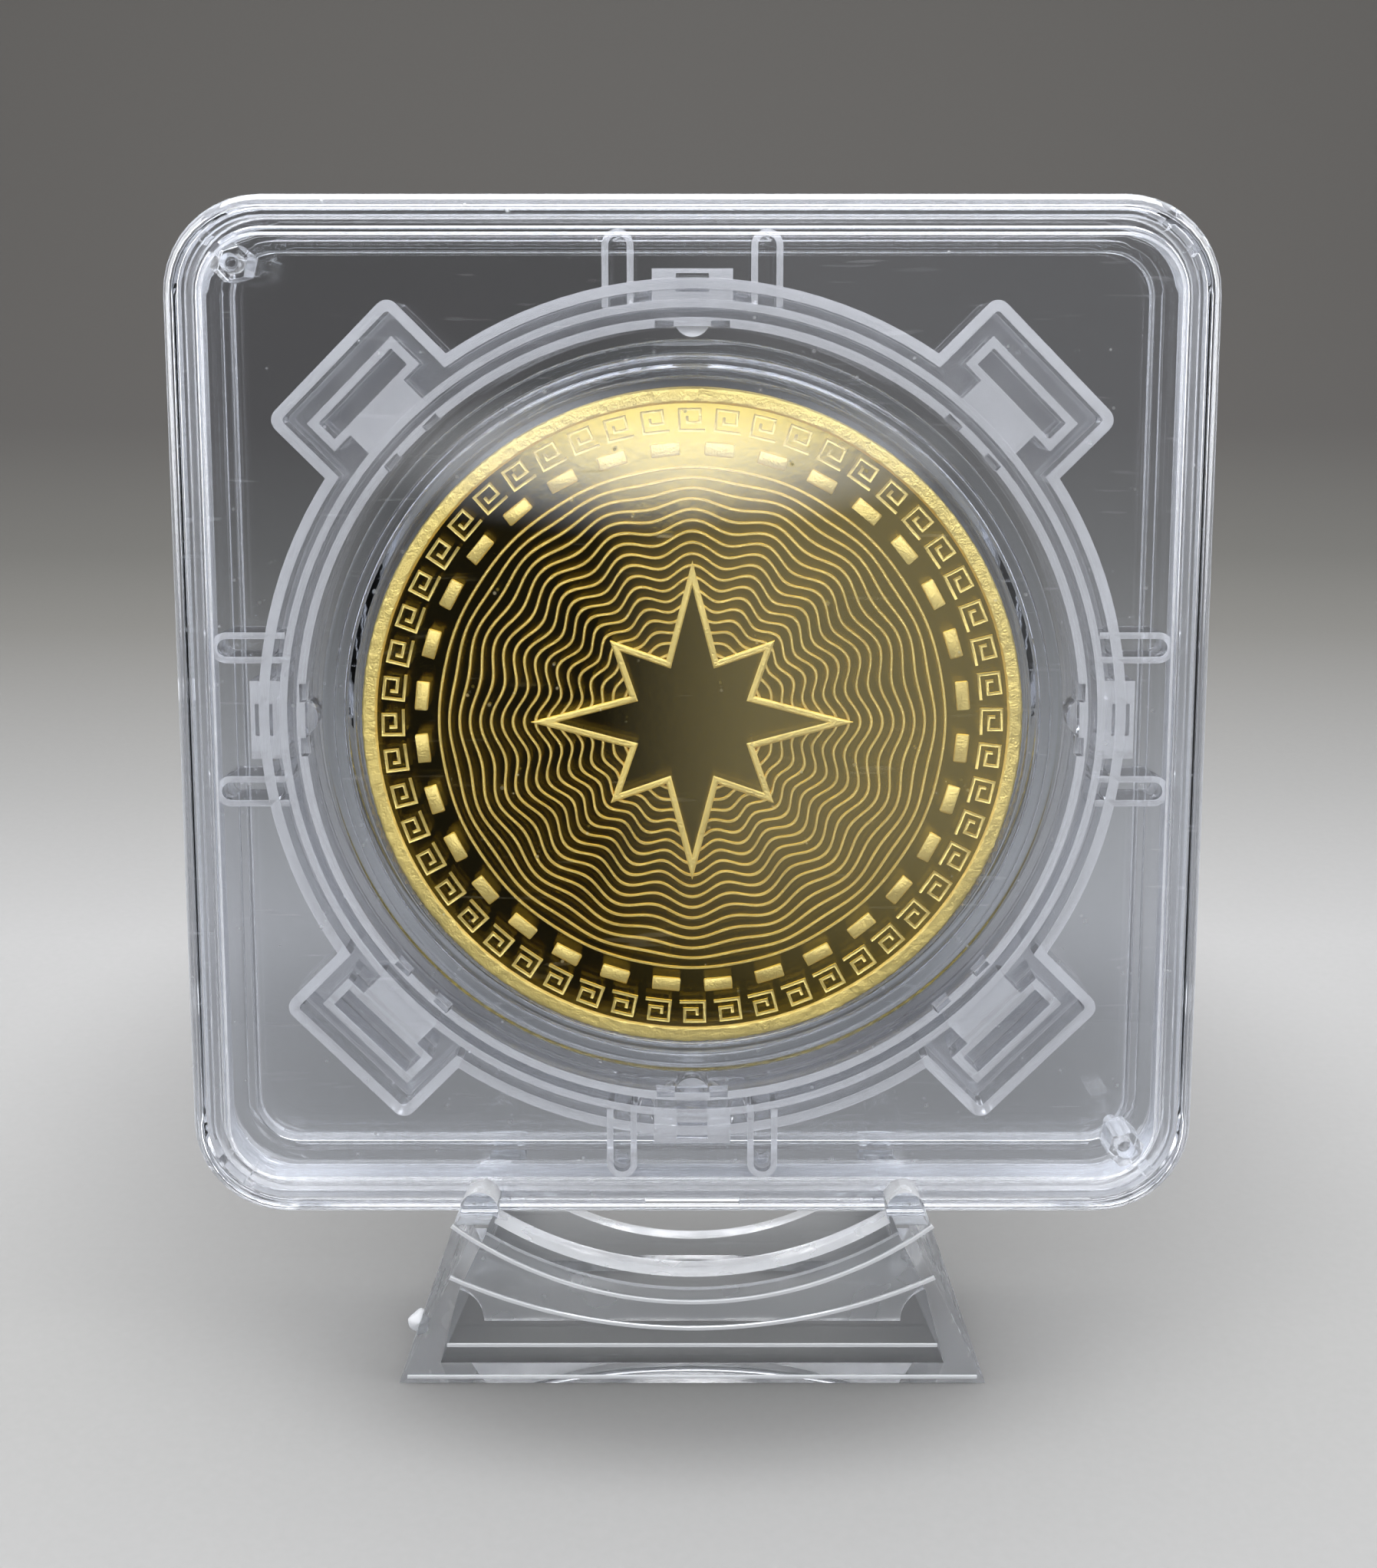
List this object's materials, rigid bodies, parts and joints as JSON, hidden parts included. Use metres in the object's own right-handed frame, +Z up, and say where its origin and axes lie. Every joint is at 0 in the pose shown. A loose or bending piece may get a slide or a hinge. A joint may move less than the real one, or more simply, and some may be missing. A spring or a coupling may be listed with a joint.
{
  "type": "coin slab on display easel",
  "caption": "Clear square snap-together case with a lugged insert ring, round capsule and gold-coloured coin, leaning back in a small clear easel.",
  "frame": {"origin": "on the floor, in the middle of the easel's front foot", "axes": "+Z up, +X to the right of someone facing the coin, -Y towards that person; the slab leans back 14 degrees about X"},
  "size_m": [0.06, 0.0278, 0.0663],
  "materials": {
    "easel_clear": "clear injection-moulded polystyrene, gloss",
    "case_clear": "clear injection-moulded polystyrene, gloss",
    "insert_frosted": "clear moulding with bright, slightly frosted walls",
    "capsule_clear": "clear injection-moulded polystyrene, gloss",
    "coin_gold": "gold-coloured plating, polished field with frosted relief"
  },
  "bodies": {
    "stand": {"stand": "easel_clear"},
    "case_back": {"case_back": "case_clear"},
    "case_front": {"case_front": "case_clear"},
    "insert_ring": {"insert_ring": "insert_frosted"},
    "capsule_base": {"capsule_base": "capsule_clear"},
    "coin": {"coin": "coin_gold"},
    "capsule_lid": {"capsule_lid": "capsule_clear"}
  },
  "joints": [
    {"name": "slab_lift", "type": "slide", "parent": "stand", "child": "case_back", "axis": [0, 0.2419, 0.9703], "range_m": [0, 0.06]},
    {"name": "case_open", "type": "slide", "parent": "case_back", "child": "case_front", "axis": [0, -0.9703, 0.2419], "range_m": [0, 0.021]},
    {"name": "insert_out", "type": "slide", "parent": "case_back", "child": "insert_ring", "axis": [0, -0.9703, 0.2419], "range_m": [0, 0.0036]},
    {"name": "capsule_out", "type": "slide", "parent": "case_back", "child": "capsule_base", "axis": [0, -0.9703, 0.2419], "range_m": [0, 0.0078]},
    {"name": "coin_out", "type": "slide", "parent": "capsule_base", "child": "coin", "axis": [0, -0.9703, 0.2419], "range_m": [0, 0.0042]},
    {"name": "lid_off", "type": "slide", "parent": "capsule_base", "child": "capsule_lid", "axis": [0, -0.9703, 0.2419], "range_m": [0, 0.0084]}
  ],
  "couplings": [
    {"joint": "case_open", "follows": "slab_lift", "ratio": 0.35},
    {"joint": "insert_out", "follows": "slab_lift", "ratio": 0.06},
    {"joint": "capsule_out", "follows": "slab_lift", "ratio": 0.13},
    {"joint": "coin_out", "follows": "slab_lift", "ratio": 0.07},
    {"joint": "lid_off", "follows": "slab_lift", "ratio": 0.14}
  ]
}
